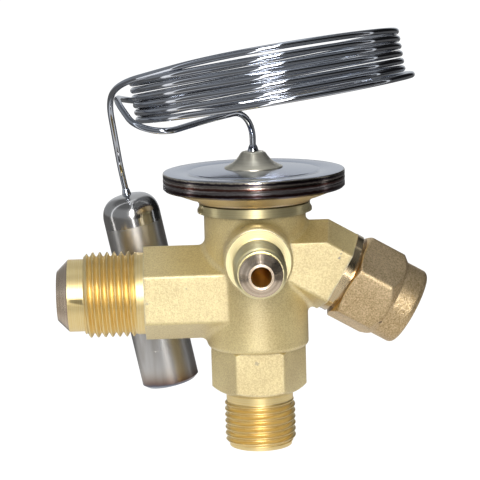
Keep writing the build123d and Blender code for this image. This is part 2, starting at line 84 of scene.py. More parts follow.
# the valve's own lines, in millimetres like every measure below
trunkAxis = np.array([0.0, 0.0, 1.0])
trunkFoot = np.zeros(3)
spindleAxis = np.array(jointOf("cap_removal")["axis"], float)
spindlePoint = inMillimetres(jointOf("spindle_turn")["pos_m"])
spindleFoot = spindlePoint - spindleAxis * spindlePoint[0] / spindleAxis[0]
bulbUp = -np.array(mountOf("sensing_bulb")["axis"], float)
bulbShape = {"mountRise": 2.6, "top": 45.6}
bulbFoot = inMillimetres(mountOf("sensing_bulb")["pos_m"]) - bulbUp * bulbShape["mountRise"]


def addObject(name, data):
    made = bpy.data.objects.new(name, data)
    bpy.context.scene.collection.objects.link(made)
    return made


# angles in degrees, the near limit in metres
camera = {
    "place": (-11.86, -427.9, 118.07), "heading": 1.127, "dip": 9.62, "roll": 1.665, "lens": 146.6, "near": 0.01,
}


def makeCamera():
    heading, dip, roll = (math.radians(camera[k]) for k in ("heading", "dip", "roll"))
    ahead = Vector((math.sin(heading) * math.cos(dip), math.cos(heading) * math.cos(dip), -math.sin(dip)))
    right = ahead.cross(Vector((0, 0, 1))).normalized()
    up = right.cross(ahead)
    rolledRight = right * math.cos(roll) - up * math.sin(roll)
    rolledUp = right * math.sin(roll) + up * math.cos(roll)
    data = bpy.data.cameras.new("camera")
    data.lens = camera["lens"]
    data.clip_start = camera["near"]
    seer = addObject("camera", data)
    turn = Matrix((rolledRight, rolledUp, -ahead)).transposed()
    seer.matrix_world = Matrix.Translation(Vector(camera["place"]) * mm) @ turn.to_4x4()
    bpy.context.scene.camera = seer


makeCamera()
bpy.context.scene.view_settings.view_transform = "Standard"


# a socket takes either another socket's link or a constant
def feed(tree, socket, value):
    if isinstance(value, bpy.types.NodeSocket):
        tree.links.new(value, socket)
    elif socket.type == "RGBA":
        socket.default_value = (*value[:3], 1)
    else:
        socket.default_value = value


def feedAll(tree, node, inputs):
    for key, value in inputs.items():
        feed(tree, node.inputs[key], value)


def addNode(tree, kind, settings=None, inputs=None):
    made = tree.nodes.new("ShaderNode" + kind)
    for key, value in (settings or {}).items():
        setattr(made, key, value)
    feedAll(tree, made, inputs or {})
    return made


def maths(tree, operation, *values):
    return addNode(tree, "Math", {"operation": operation}, dict(enumerate(values))).outputs[0]


def vectors(tree, operation, *values):
    made = addNode(tree, "VectorMath", {"operation": operation}, dict(enumerate(values)))
    return made.outputs["Value" if operation in ("DOT_PRODUCT", "DISTANCE", "LENGTH") else "Vector"]


def scaled(tree, vector, factor):
    return addNode(tree, "VectorMath", {"operation": "SCALE"}, {0: vector, "Scale": factor}).outputs[0]


def remap(tree, value, low, high, newLow=0.0, newHigh=1.0, soft=True):
    made = addNode(tree, "MapRange", {"interpolation_type": "SMOOTHSTEP" if soft else "LINEAR"}, {
        "Value": value, "From Min": low, "From Max": high, "To Min": newLow, "To Max": newHigh})
    return made.outputs["Result"]


def blend(tree, share, first, second):
    return addNode(tree, "Mix", {"data_type": "FLOAT"}, {0: share, 2: first, 3: second}).outputs[0]


def mixColours(tree, share, first, second):
    return addNode(tree, "Mix", {"data_type": "RGBA"}, {0: share, 6: first, 7: second}).outputs[2]


def ramp(tree, value, stops):
    made = addNode(tree, "ValToRGB", None, {"Fac": value})
    points = made.color_ramp.elements
    while len(points) < len(stops):
        points.new(0.5)
    for point, (place, colour) in zip(points, stops):
        point.position = place
        point.color = (*colour, 1)
    return made.outputs["Color"]


def newGroup(name, inputs, outputs):
    tree = bpy.data.node_groups.new(name, "ShaderNodeTree")
    for label, kind, value in inputs:
        socket = tree.interface.new_socket(label, in_out="INPUT", socket_type="NodeSocket" + kind)
        socket.default_value = value
    for label, kind in outputs:
        tree.interface.new_socket(label, in_out="OUTPUT", socket_type="NodeSocket" + kind)
    entry, leave = tree.nodes.new("NodeGroupInput"), tree.nodes.new("NodeGroupOutput")
    return tree, entry, leave


def placeGroup(tree, group, inputs=None):
    return addNode(tree, "Group", {"node_tree": group}, inputs).outputs


def objectPlace(tree):
    return addNode(tree, "TexCoord").outputs["Object"]


def placeFrom(tree, point):
    return vectors(tree, "SUBTRACT", objectPlace(tree), tuple(np.array(point) * mm))


# blasted metal: a fine and a coarse grain, and slow clouds of tone
grainLook = {
    "fine": {"Detail": 3.0, "Roughness": 0.65}, "coarse": {"Detail": 2.0, "Roughness": 0.5},
    "cloud": {"Scale": 90.0, "Detail": 3.0}, "coarseScale": 0.37, "coarseShare": 0.8,
    "toneFrom": (0.32, 0.68), "cloudFrom": (0.35, 0.65),
}


def makeBlastGroup():
    look = grainLook
    tree, entry, leave = newGroup("blastedGrain", [("Density", "Float", 4000.0)],
                                  [("Tone", "Float"), ("Height", "Float"), ("Cloud", "Float")])
    place, density = objectPlace(tree), entry.outputs["Density"]
    sparser = maths(tree, "MULTIPLY", density, look["coarseScale"])
    fine = addNode(tree, "TexNoise", None, {"Vector": place, "Scale": density, **look["fine"]}).outputs["Fac"]
    coarse = addNode(tree, "TexNoise", None, {"Vector": place, "Scale": sparser, **look["coarse"]}).outputs["Fac"]
    cloud = addNode(tree, "TexNoise", None, {"Vector": place, **look["cloud"]}).outputs["Fac"]
    feedAll(tree, leave, {
        "Tone": remap(tree, fine, *look["toneFrom"]), "Cloud": remap(tree, cloud, *look["cloudFrom"]),
        "Height": maths(tree, "MULTIPLY_ADD", coarse, look["coarseShare"], fine)})
    return tree


# tool marks that run round the axis
latheLook = {"sideways": 0.8, "detail": 3.0, "toneFrom": (0.3, 0.7)}


def makeLatheGroup():
    look = latheLook
    tree, entry, leave = newGroup("latheMarks", [
        ("Axis", "Vector", (0, 0, 1)), ("Start", "Vector", (0, 0, 0)), ("Density", "Float", 9000.0)],
        [("Tone", "Float"), ("Height", "Float")])
    axis = entry.outputs["Axis"]
    offset = vectors(tree, "SUBTRACT", objectPlace(tree), entry.outputs["Start"])
    along = vectors(tree, "DOT_PRODUCT", offset, axis)
    away = vectors(tree, "DISTANCE", offset, scaled(tree, axis, along))
    travel = maths(tree, "MULTIPLY_ADD", away, look["sideways"], along)
    travel = maths(tree, "MULTIPLY", travel, entry.outputs["Density"])
    marks = addNode(tree, "TexNoise", {"noise_dimensions": "1D"},
                    {"Scale": 1.0, "Detail": look["detail"], "W": travel}).outputs["Fac"]
    feedAll(tree, leave, {"Tone": remap(tree, marks, *look["toneFrom"]), "Height": marks})
    return tree


speckLook = {"smallest": 0.03, "spread": 0.16}


def makeSpeckGroup():
    tree, entry, leave = newGroup("darkSpecks", [("Density", "Float", 300.0), ("Share", "Float", 0.12)],
                                  [("Mask", "Float")])
    cells = addNode(tree, "TexVoronoi", None, {"Vector": objectPlace(tree), "Scale": entry.outputs["Density"]})
    pick = addNode(tree, "SeparateColor", None, {0: cells.outputs["Color"]}).outputs
    chosen = maths(tree, "LESS_THAN", pick[0], entry.outputs["Share"])
    size = maths(tree, "MULTIPLY_ADD", pick[1], speckLook["spread"], speckLook["smallest"])
    near = maths(tree, "LESS_THAN", cells.outputs["Distance"], size)
    feed(tree, leave.inputs["Mask"], maths(tree, "MULTIPLY", chosen, near))
    return tree


# an edge is where the rounded normal leaves the face's own; the mask lays a painted highlight along the edges
edgeLook = {"samples": 4, "likeness": (0.995, 0.9)}


def makeEdgeGroup():
    tree, entry, leave = newGroup("paintedEdgeSheen", [("Width", "Float", 0.0004)], [("Mask", "Float")])
    rounded = addNode(tree, "Bevel", {"samples": edgeLook["samples"]}, {"Radius": entry.outputs["Width"]})
    face = addNode(tree, "NewGeometry").outputs["Normal"]
    likeness = vectors(tree, "DOT_PRODUCT", rounded.outputs["Normal"], face)
    feed(tree, leave.inputs["Mask"], remap(tree, likeness, *edgeLook["likeness"]))
    return tree


blastGroup = makeBlastGroup()
latheGroup = makeLatheGroup()
speckGroup = makeSpeckGroup()
edgeGroup = makeEdgeGroup()
print("surface effects made")


softSamples = 8


def newMaterial(name):
    material = bpy.data.materials.new(name)
    material.use_nodes = True
    tree = material.node_tree
    tree.nodes.clear()
    surface = addNode(tree, "BsdfPrincipled")
    addNode(tree, "OutputMaterial", None, {"Surface": surface.outputs[0]})
    return material, tree, surface


def bumpFrom(tree, surface, height, strength, distance, softEdge=0.0):
    made = addNode(tree, "Bump", None, {"Strength": strength, "Distance": distance, "Height": height})
    if softEdge:
        rounded = addNode(tree, "Bevel", {"samples": softSamples}, {"Radius": softEdge * mm})
        feed(tree, made.inputs["Normal"], rounded.outputs["Normal"])
    feed(tree, surface.inputs["Normal"], made.outputs["Normal"])


# a mark is a small pit or punch dot: its place, reach and darkness
forgedLook = {
    # edge: a lighter colour laid along the edges, a painted highlight
    "dark": (0.56, 0.39, 0.09), "light": (0.88, 0.72, 0.30), "edge": (0.96, 0.84, 0.50), "speck": (0.16, 0.10, 0.05),
    "metallic": 0.55, "roughness": 0.48, "grain": 3200.0, "grainDepth": 0.0001, "bump": 0.7,
    "coat": 1.0, "coatRoughness": 0.50, "coatIndex": 2.5, "specks": 0.06, "softEdge": 0.8,
    "marks": [((-0.7, -9.25, 19.4), 0.75, 0.45), ((17.9, -9.2, 42.4), 0.5, 0.8), ((18.75, -9.2, 44.1), 0.45, 0.7),
              ((19.2, -9.2, 45.4), 0.5, 0.8), ((18.3, -9.2, 43.3), 0.35, 0.7), ((-24.3, -9.2, 33.6), 0.6, 0.5),
              ((-15.7, -9.2, 36.7), 0.3, 0.7)],
}
capLook = {
    # edge: a lighter colour laid along the edges, a painted highlight
    "dark": (0.40, 0.27, 0.12), "light": (0.92, 0.72, 0.45), "edge": (0.86, 0.70, 0.46), "speck": (0.10, 0.06, 0.04),
    "metallic": 0.92, "roughness": 0.44, "grain": 3000.0, "grainDepth": 0.0001, "bump": 0.7,
    "coat": 0.0, "coatRoughness": 0.5, "coatIndex": 1.5, "specks": 0.05, "softEdge": 0.5, "marks": [],
}
blastedMix = {
    "cloud": 0.35, "tone": 0.65, "wornAndSheen": 0.7, "speck": 0.7, "rougher": 0.06, "smoother": 0.05,
    "markWobble": 0.35, "markCore": 0.5,
}


def makeBlasted(name, look):
    mix = blastedMix
    material, tree, surface = newMaterial(name)
    grain = placeGroup(tree, blastGroup, {"Density": look["grain"]})
    specks = placeGroup(tree, speckGroup, {"Share": look["specks"]})
    wornAndSheen = placeGroup(tree, edgeGroup)
    share = maths(tree, "MULTIPLY", grain["Tone"], mix["tone"])
    share = maths(tree, "MULTIPLY_ADD", grain["Cloud"], mix["cloud"], share)
    colour = mixColours(tree, share, look["dark"], look["light"])
    # a painted highlight along the edges
    colour = mixColours(tree, maths(tree, "MULTIPLY", wornAndSheen["Mask"], mix["wornAndSheen"]), colour, look["edge"])
    colour = mixColours(tree, maths(tree, "MULTIPLY", specks["Mask"], mix["speck"]), colour, look["speck"])
    for place, reach, depth in look["marks"]:
        away = vectors(tree, "DISTANCE", objectPlace(tree), tuple(np.array(place) * mm))
        spot = maths(tree, "MULTIPLY_ADD", grain["Tone"], mix["markWobble"] * reach * mm, away)
        inside = remap(tree, spot, reach * mm, mix["markCore"] * reach * mm, 0.0, depth)
        colour = mixColours(tree, inside, colour, look["speck"])
    rough = look["roughness"] + mix["rougher"], look["roughness"] - mix["smoother"]
    feedAll(tree, surface, {
        "Base Color": colour, "Roughness": remap(tree, grain["Tone"], 0.0, 1.0, *rough),
        "Metallic": look["metallic"], "Coat Weight": look["coat"], "Coat Roughness": look["coatRoughness"],
        "Coat IOR": look["coatIndex"]})
    bumpFrom(tree, surface, grain["Height"], look["bump"], look["grainDepth"], look["softEdge"])
    return material


turnedTerms = ("dark", "light", "roughness", "bump", "grooves")
turnedLook = {
    "brass": ((0.84, 0.62, 0.24), (0.97, 0.81, 0.46), 0.42, 0.10, 0.1),
    "paleBrass": ((0.78, 0.66, 0.34), (0.94, 0.84, 0.52), 0.34, 0.12, 0.2),
    "flareSeat": ((0.57, 0.45, 0.33), (0.69, 0.56, 0.43), 0.22, 0.05, 0.9),
    "neck": ((0.54, 0.41, 0.23), (0.66, 0.53, 0.35), 0.20, 0.06, 0.8),
    # bore: colours raised bright and orange, painted light standing in for the flash inside the bore
    "bore": ((0.95, 0.55, 0.12), (1.0, 0.75, 0.28), 0.30, 0.3, 0.4),
    "steel": ((0.42, 0.42, 0.43), (0.62, 0.62, 0.63), 0.24, 0.1, 0.6),
    "cover": ((0.43, 0.46, 0.54), (0.47, 0.50, 0.58), 0.12, 0.04, 0.5),
    # bowl: the steel lower shell coloured gold, a painted reflection of the brass body below
    "bowl": ((0.76, 0.62, 0.40), (0.94, 0.82, 0.60), 0.46, 0.06, 0.3),
    # capFootPaintedReflection: the cap's turned foot coloured orange-brown, a painted reflection of the brass body
    # shoulder
    "capFootPaintedReflection": ((0.62, 0.40, 0.16), (0.80, 0.56, 0.26), 0.30, 0.06, 0.3),
    "nipple": ((0.72, 0.67, 0.54), (0.86, 0.81, 0.67), 0.40, 0.06, 0.4),
}
turnedMix = {"rougher": 1.15, "smoother": 0.9, "depth": 0.00003, "quarterTurn": 0.25}


# the highlight spreads across the tool marks
def turnTangent(tree, surface, axis, start, share):
    roundabout = vectors(tree, "CROSS_PRODUCT", placeFrom(tree, start), tuple(axis))
    feedAll(tree, surface, {"Tangent": vectors(tree, "NORMALIZE", roundabout), "Anisotropic": share,
                            "Anisotropic Rotation": turnedMix["quarterTurn"]})


def makeTurned(name, kind, axis=trunkAxis, start=trunkFoot):
    look, mix = dict(zip(turnedTerms, turnedLook[kind])), turnedMix
    material, tree, surface = newMaterial(name)
    marks = placeGroup(tree, latheGroup, {"Axis": tuple(axis), "Start": tuple(np.array(start) * mm)})
    rough = look["roughness"] * mix["rougher"], look["roughness"] * mix["smoother"]
    feedAll(tree, surface, {
        "Base Color": mixColours(tree, marks["Tone"], look["dark"], look["light"]),
        "Roughness": remap(tree, marks["Tone"], 0.0, 1.0, *rough), "Metallic": 1.0})
    turnTangent(tree, surface, axis, start, look["grooves"])
    bumpFrom(tree, surface, marks["Height"], look["bump"], mix["depth"])
    return material


capillaryLook = {"colour": (0.50, 0.53, 0.59), "dull": (0.45, 0.46, 0.49), "roughness": 0.08, "grain": 500.0}


def makeCapillarySteel():
    look = capillaryLook
    material, tree, surface = newMaterial("capillarySteel")
    cloud = placeGroup(tree, blastGroup, {"Density": look["grain"]})["Cloud"]
    colour = mixColours(tree, cloud, look["colour"], look["dull"])
    feedAll(tree, surface, {"Base Color": colour, "Roughness": look["roughness"], "Metallic": 1.0})
    return material


# drawn steel with a seam under the dome, a scribed line and heat tint, by height above the foot
bulbLook = {
    "colour": (0.56, 0.545, 0.53), "wornAndSheen": (0.41, 0.38, 0.34), "roughness": 0.28, "domeRoughness": 0.15,
    "grain": 1800.0, "wobble": 0.9, "streaks": {"Scale": 700.0, "Detail": 3.0}, "streakStretch": (1, 1, 14),
    "streakFrom": (0.35, 0.7), "streakShare": 0.55, "streakRoughness": 0.10, "seam": 38.6, "seamHalf": 0.14,
    "domeEdge": 0.15, "lowLine": 9.4, "lowLineHalf": 0.10, "lowLineDepth": 0.3, "tintFrom": (0.4, 6.0),
    "tintFade": (7.0, 1.5), "tintShare": 0.85, "relief": 0.12, "bump": 0.5, "depth": 0.00008,
    "tint": [(0.0, (0.30, 0.32, 0.38)), (0.08, (0.24, 0.29, 0.38)), (0.16, (0.07, 0.065, 0.10)),
             (0.26, (0.16, 0.09, 0.07)), (0.45, (0.30, 0.22, 0.17)), (1.0, (0.54, 0.48, 0.41))],
}


def distanceAlong(tree, axis, start):
    return maths(tree, "DIVIDE", vectors(tree, "DOT_PRODUCT", placeFrom(tree, start), tuple(axis)), mm)


def makeBulbSteel():
    look = bulbLook
    material, tree, surface = newMaterial("bulbSteel")
    grain = placeGroup(tree, blastGroup, {"Density": look["grain"]})
    height = distanceAlong(tree, bulbUp, bulbFoot)
    wobble = maths(tree, "MULTIPLY_ADD", grain["Cloud"], look["wobble"], height)
    lengthways = addNode(tree, "Mapping", {"vector_type": "TEXTURE"},
                         {"Vector": objectPlace(tree), "Scale": look["streakStretch"]}).outputs[0]
    scratches = addNode(tree, "TexNoise", None, {"Vector": lengthways, **look["streaks"]}).outputs["Fac"]
    streaks = remap(tree, scratches, *look["streakFrom"])
    colour = mixColours(tree, maths(tree, "MULTIPLY", streaks, look["streakShare"]), look["colour"], look["wornAndSheen"])
    tint = ramp(tree, remap(tree, wobble, *look["tintFrom"], soft=False), look["tint"])
    colour = mixColours(tree, remap(tree, wobble, *look["tintFade"], 0.0, look["tintShare"]), colour, tint)
    dome = remap(tree, height, look["seam"] - look["domeEdge"], look["seam"] + look["domeEdge"])
    rough = maths(tree, "MULTIPLY_ADD", streaks, look["streakRoughness"], look["roughness"])
    feedAll(tree, surface, {
        "Base Color": mixColours(tree, dome, colour, look["colour"]),
        "Roughness": blend(tree, dome, rough, look["domeRoughness"]), "Metallic": 1.0})
    seamLine = maths(tree, "COMPARE", height, look["seam"], look["seamHalf"])
    lowLine = maths(tree, "COMPARE", height, look["lowLine"], look["lowLineHalf"])
    lines = maths(tree, "MULTIPLY_ADD", lowLine, look["lowLineDepth"], seamLine)
    relief = maths(tree, "SUBTRACT", maths(tree, "MULTIPLY", scratches, look["relief"]), lines)
    bumpFrom(tree, surface, relief, look["bump"], look["depth"])
    return material


# bands of weld heat tint by height, from the lower plate to the upper, mixed with painted highlights on the top edge
# and the bead and painted dark reflections
rimLook = {
    "low": 57.25, "high": 61.2, "roughness": 0.2, "grain": 900.0, "wobble": 0.16, "bump": 0.25, "depth": 0.00005,
    "soot": (0.05, 0.02, 0.018), "sootShare": 0.35, "heatAndSheenBands": [
        (0.00, (0.20, 0.18, 0.18)), (0.09, (0.17, 0.15, 0.16)), (0.15, (0.025, 0.014, 0.016)),
        (0.24, (0.05, 0.02, 0.018)), (0.29, (0.26, 0.24, 0.24)), (0.45, (0.34, 0.31, 0.31)),
        (0.51, (0.11, 0.04, 0.03)), (0.58, (0.12, 0.05, 0.035)), (0.63, (0.32, 0.28, 0.25)),
        (0.73, (0.40, 0.36, 0.32)), (0.79, (0.04, 0.035, 0.05)), (0.87, (0.03, 0.025, 0.03)),
        (0.93, (0.72, 0.65, 0.52)), (1.00, (0.60, 0.60, 0.64))],
}


def makeHeatTintAndSheenRim():
    look = rimLook
    material, tree, surface = newMaterial("heatTintAndSheenRim")
    grain = placeGroup(tree, blastGroup, {"Density": look["grain"]})
    height = distanceAlong(tree, trunkAxis, (0, 0, look["low"]))
    wobble = maths(tree, "MULTIPLY_ADD", maths(tree, "SUBTRACT", grain["Tone"], 0.5), look["wobble"], height)
    # the ramp paints heat tint together with highlights and dark reflections
    colour = ramp(tree, maths(tree, "DIVIDE", wobble, look["high"] - look["low"]), look["heatAndSheenBands"])
    colour = mixColours(tree, maths(tree, "MULTIPLY", grain["Cloud"], look["sootShare"]), colour, look["soot"])
    feedAll(tree, surface, {"Base Color": colour, "Roughness": look["roughness"], "Metallic": 1.0})
    bumpFrom(tree, surface, grain["Height"], look["bump"], look["depth"])
    return material


plainLook = {
    "gasketBlack": {"dark": (0.015, 0.014, 0.013), "light": (0.05, 0.045, 0.04), "roughness": 0.6, "metallic": 0.0},
    "packingWhite": {"dark": (0.72, 0.71, 0.68), "light": (0.84, 0.83, 0.80), "roughness": 0.45, "metallic": 0.0},
    "springSteel": {"dark": (0.30, 0.29, 0.28), "light": (0.48, 0.47, 0.46), "roughness": 0.3, "metallic": 1.0},
    "screenWeave": {"dark": (0.12, 0.12, 0.12), "light": (0.55, 0.55, 0.56), "roughness": 0.35, "metallic": 1.0},
}
plainMix = {"grain": 2500.0, "bump": 0.3, "depth": 0.00004}
weaveMix = {"wires": 1500.0, "bump": 0.6, "depth": 0.0001}


def finishPlain(tree, surface, look, tone, height, mix):
    colour = mixColours(tree, tone, look["dark"], look["light"])
    feedAll(tree, surface, {"Base Color": colour, "Roughness": look["roughness"], "Metallic": look["metallic"]})
    bumpFrom(tree, surface, height, mix["bump"], mix["depth"])


def makePlain(name):
    material, tree, surface = newMaterial(name)
    grain = placeGroup(tree, blastGroup, {"Density": plainMix["grain"]})
    finishPlain(tree, surface, plainLook[name], grain["Tone"], grain["Height"], plainMix)
    return material


def makeWeave(name):
    material, tree, surface = newMaterial(name)
    waves = [addNode(tree, "TexWave", {"bands_direction": direction, "wave_profile": "SIN"},
                     {"Vector": objectPlace(tree), "Scale": weaveMix["wires"]}).outputs["Fac"]
             for direction in ("X", "Z")]
    wires = maths(tree, "MAXIMUM", *waves)
    finishPlain(tree, surface, plainLook[name], wires, wires, weaveMix)
    return material


# thread profile shares are of one pitch, the rest are millimetres
threadCut = {
    "steps": 96, "rows": 12, "depth": 0.61, "crestFlat": 0.10, "rootFlat": 0.14, "fade": 0.9, "rounding": 0.4,
    "runout": 0.45, "bevel": 0.45, "slack": 0.005, "pilotSlack": 0.01,
}
ports = {
    "outlet": {"mount": "outlet_thread", "pitch": 1.5875, "pilot": 8.05, "pilotLength": 3.5},
    "equalizer": {"mount": "equalizer_thread", "pitch": 1.27, "pilot": 4.6, "pilotLength": 1.5},
    "inlet": {"mount": "inlet_thread", "pitch": 1.411, "pilot": 7.0, "pilotLength": 9.0},
}


def portLines(port):
    mount = mountOf(port["mount"])
    axis = np.array(mount["axis"], float)
    side = np.cross(axis, trunkAxis if abs(axis[2]) < 0.5 else np.array([1.0, 0.0, 0.0]))
    side /= np.linalg.norm(side)
    return {
        **port, "axis": axis, "side": side, "across": np.cross(axis, side), "end": inMillimetres(mount["pos_m"]),
        "radius": mount["dims"]["r_mm"], "first": -mount["dims"]["length_mm"], "last": threadCut["bevel"],
    }


def alongAndAway(points, axis, start):
    offset = points - start
    along = offset @ axis
    return along, np.linalg.norm(offset - along[..., None] * axis, axis=-1)


# outward and roundabout directions at each angle
def roundAxis(angle, side, across):
    cosine, sine = np.cos(angle)[..., None], np.sin(angle)[..., None]
    return cosine * side + sine * across, cosine * across - sine * side


def smooth(share):
    return share * share * (3 - 2 * share)


def threadRadius(line, along, angle):
    cut = threadCut
    pitch = line["pitch"]
    phase = ((along - line["first"]) / pitch - angle / (2 * math.pi)) % 1.0
    fromCrest = 2 * np.abs(phase - 0.5)
    height = np.clip((1 - fromCrest - cut["rootFlat"]) / (1 - cut["rootFlat"] - cut["crestFlat"]), 0, 1)
    height = (1 - cut["rounding"]) * height + cut["rounding"] * height * height * (3 - 2 * height)
    depth = cut["depth"] * pitch
    radius = line["radius"] - depth * (1 - height)
    entered = smooth(np.clip((along - line["first"]) / (cut["fade"] * pitch), 0, 1))
    radius = (line["radius"] - cut["runout"]) * (1 - entered) + radius * entered
    return np.minimum(radius, line["radius"] - depth + np.clip(line["last"] - along, 0, None))


def cutThread(line):
    steps, rows, pitch = threadCut["steps"], threadCut["rows"], line["pitch"]
    count = math.ceil(rows * ((line["last"] - line["first"]) / pitch + 1)) + 1
    angle = np.linspace(0, 2 * math.pi, steps + 1)[:, None]
    along = line["first"] - pitch + pitch * (np.arange(count + 1)[None, :] / rows + angle / (2 * math.pi))
    along = np.clip(along, line["first"], line["last"])
    angle = np.broadcast_to(angle, along.shape)
    radius = threadRadius(line, along, angle)
    step = 0.02
    slope = (threadRadius(line, along + step, angle) - threadRadius(line, along - step, angle)) / (2 * step)
    twist = step / line["radius"]
    turnSlope = (threadRadius(line, along, angle + twist) - threadRadius(line, along, angle - twist)) / (2 * twist)
    outward, around = roundAxis(angle, line["side"], line["across"])
    places = line["end"] + along[..., None] * line["axis"] + radius[..., None] * outward
    normals = outward - slope[..., None] * line["axis"] - (turnSlope / radius)[..., None] * around
    normals /= np.linalg.norm(normals, axis=-1)[..., None]
    corners, directions = gridTriangles(places), gridTriangles(normals)
    rootRadius = line["radius"] - threadCut["depth"] * pitch
    rim = np.linspace(rootRadius, line["pilot"], 2)[None, :, None]
    ringPlaces = (line["end"] + line["last"] * line["axis"]) + rim * outward[:, :1]
    ringNormals = np.broadcast_to(line["axis"], ringPlaces.shape)
    return (np.concatenate([corners, gridTriangles(ringPlaces)]),
            np.concatenate([directions, gridTriangles(ringNormals)]))


def gridTriangles(grid):
    a, b, c, d = grid[:-1, :-1], grid[1:, :-1], grid[1:, 1:], grid[:-1, 1:]
    first = np.stack([a, b, c], axis=2).reshape(-1, 3, 3)
    second = np.stack([a, c, d], axis=2).reshape(-1, 3, 3)
    return np.concatenate([first, second])


def surfaceOf(nodeName):
    mesh = nodes[nodeName].data
    corners = np.empty(len(mesh.loops), np.int32)
    mesh.loops.foreach_get("vertex_index", corners)
    places = np.empty(len(mesh.vertices) * 3, np.float32)
    mesh.vertices.foreach_get("co", places)
    directions = np.empty(len(mesh.loops) * 3, np.float32)
    mesh.corner_normals.foreach_get("vector", directions)
    places = places.reshape(-1, 3).astype(float)[corners].reshape(-1, 3, 3) / mm
    return places, directions.reshape(-1, 3, 3).astype(float)


def meshFrom(name, corners, directions, kinds, materials):
    unique, index = np.unique(np.round(corners.reshape(-1, 3), 4), axis=0, return_inverse=True)
    faces = index.reshape(-1, 3)
    whole = (faces[:, 0] != faces[:, 1]) & (faces[:, 1] != faces[:, 2]) & (faces[:, 2] != faces[:, 0])
    mesh = bpy.data.meshes.new(name)
    mesh.from_pydata((unique * mm).tolist(), [], faces[whole].tolist())
    mesh.polygons.foreach_set("material_index", kinds[whole].astype(np.int32))
    mesh.polygons.foreach_set("use_smooth", np.ones(int(whole.sum()), bool))
    for material in materials:
        mesh.materials.append(material)
    mesh.update()
    mesh.normals_split_custom_set(directions[whole].reshape(-1, 3).tolist())
    return addObject(name, mesh)


bodyZones = {
    "outletFace": 24.99, "equalizerRing": 17.99, "hexFoot": 11.06, "collarFoot": 52.14, "collarLow": 52.0,
    "collarWas": 11.15, "collarSlack": 0.12, "collarRadius": 12.7, "collarEdge": 12.75, "branchEnd": 20.99,
    "neckRadius": 13.0, "boreRadius": 10.2, "facingIn": -0.3, "floorRadius": 8.6, "floorRise": 0.5, "boreTop": 53.0,
    "outletBore": 4.65, "equalizerBore": 2.2, "spindleBore": 4.6,
}


def bodyKinds(centres, normals, lines, order):
    zones = bodyZones
    kinds = np.full(len(centres), order.index("forged"))
    trunkAway = np.linalg.norm(centres[:, :2], axis=1)
    height = centres[:, 2]
    (outletAlong, outletAway), (sideAlong, sideAway) = (
        alongAndAway(centres, lines[port]["axis"], lines[port]["end"] * trunkAxis) for port in ("outlet", "equalizer"))
    spindleAlong, spindleAway = alongAndAway(centres, spindleAxis, spindleFoot)
    kinds[height < zones["hexFoot"]] = order.index("inlet")
    kinds[(height > zones["collarFoot"]) & (trunkAway < zones["collarEdge"])] = order.index("collar")
    kinds[outletAlong > zones["outletFace"]] = order.index("outlet")
    kinds[sideAlong > zones["equalizerRing"]] = order.index("equalizer")
    kinds[(spindleAlong > zones["branchEnd"]) & (spindleAway < zones["neckRadius"])] = order.index("neck")
    for port in ("outlet", "equalizer"):
        line = lines[port]
        beyond = (centres - line["end"]) @ line["axis"] > line["pilotLength"] + line["last"]
        kinds[beyond] = order.index(port + "Seat")
    facingIn = (centres[:, :2] * normals[:, :2]).sum(axis=1) < zones["facingIn"] * trunkAway
    bores = (trunkAway < zones["boreRadius"]) & (height < zones["boreTop"]) & facingIn
    aboveFloor = (height > zones["hexFoot"] + zones["floorRise"]) & (height < zones["boreTop"])
    bores |= (trunkAway < zones["floorRadius"]) & aboveFloor
    bores |= (outletAway < zones["outletBore"]) & (outletAlong > 0)
    bores |= (sideAway < zones["equalizerBore"]) & (sideAlong > 0)
    bores |= (spindleAway < zones["spindleBore"]) & (spindleAlong > 0)
    kinds[bores] = order.index("bore")
    return kinds


def makeBodyShell():
    zones = bodyZones
    lines = {name: portLines(port) for name, port in ports.items()}
    outlet, side = ((lines[port]["axis"], lines[port]["end"]) for port in ("outlet", "equalizer"))
    materials = {
        "forged": makeBlasted("forgedBrass", forgedLook),
        "outlet": makeTurned("outletTurned", "brass", *outlet),
        "equalizer": makeTurned("equalizerTurned", "paleBrass", *side),
        "inlet": makeTurned("inletTurned", "brass"),
        "collar": makeTurned("collarTurned", "paleBrass"),
        "neck": makeTurned("spindleNeck", "neck", spindleAxis, spindleFoot),
        "outletSeat": makeTurned("outletSeat", "flareSeat", *outlet),
        "equalizerSeat": makeTurned("equalizerSeat", "flareSeat", *side),
        "bore": makeTurned("boreBrassPaintedLight", "bore"),
    }
    order = list(materials)
    corners, directions = surfaceOf("valve_body")
    kept = np.ones(len(corners), bool)
    for line in lines.values():
        along, away = alongAndAway(corners, line["axis"], line["end"])
        inside = (along > line["first"] - threadCut["slack"]) & (along < line["last"] + threadCut["slack"])
        inside &= away > line["pilot"] - threadCut["pilotSlack"]
        kept &= ~inside.all(axis=1)
    corners, directions = corners[kept], directions[kept]
    away = np.linalg.norm(corners[..., :2], axis=-1)
    collar = (corners[..., 2] > zones["collarLow"]) & (np.abs(away - zones["collarWas"]) < zones["collarSlack"])
    widened = zones["collarRadius"] / np.maximum(away, 1.0)
    corners[..., :2] *= np.where(collar, widened, 1.0)[..., None]
    kinds = bodyKinds(corners.mean(axis=1), directions.mean(axis=1), lines, order)
    for name, line in lines.items():
        threadCorners, threadDirections = cutThread(line)
        corners = np.concatenate([corners, threadCorners])
        directions = np.concatenate([directions, threadDirections])
        kinds = np.concatenate([kinds, np.full(len(threadCorners), order.index(name))])
    shell = meshFrom("valveBodyShell", corners, directions, kinds, list(materials.values()))
    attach(shell, "valve_housing")
    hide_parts("valve_body")
    return shell


bodyShell = makeBodyShell()
print("body shell with threads:", len(bodyShell.data.polygons), "faces")


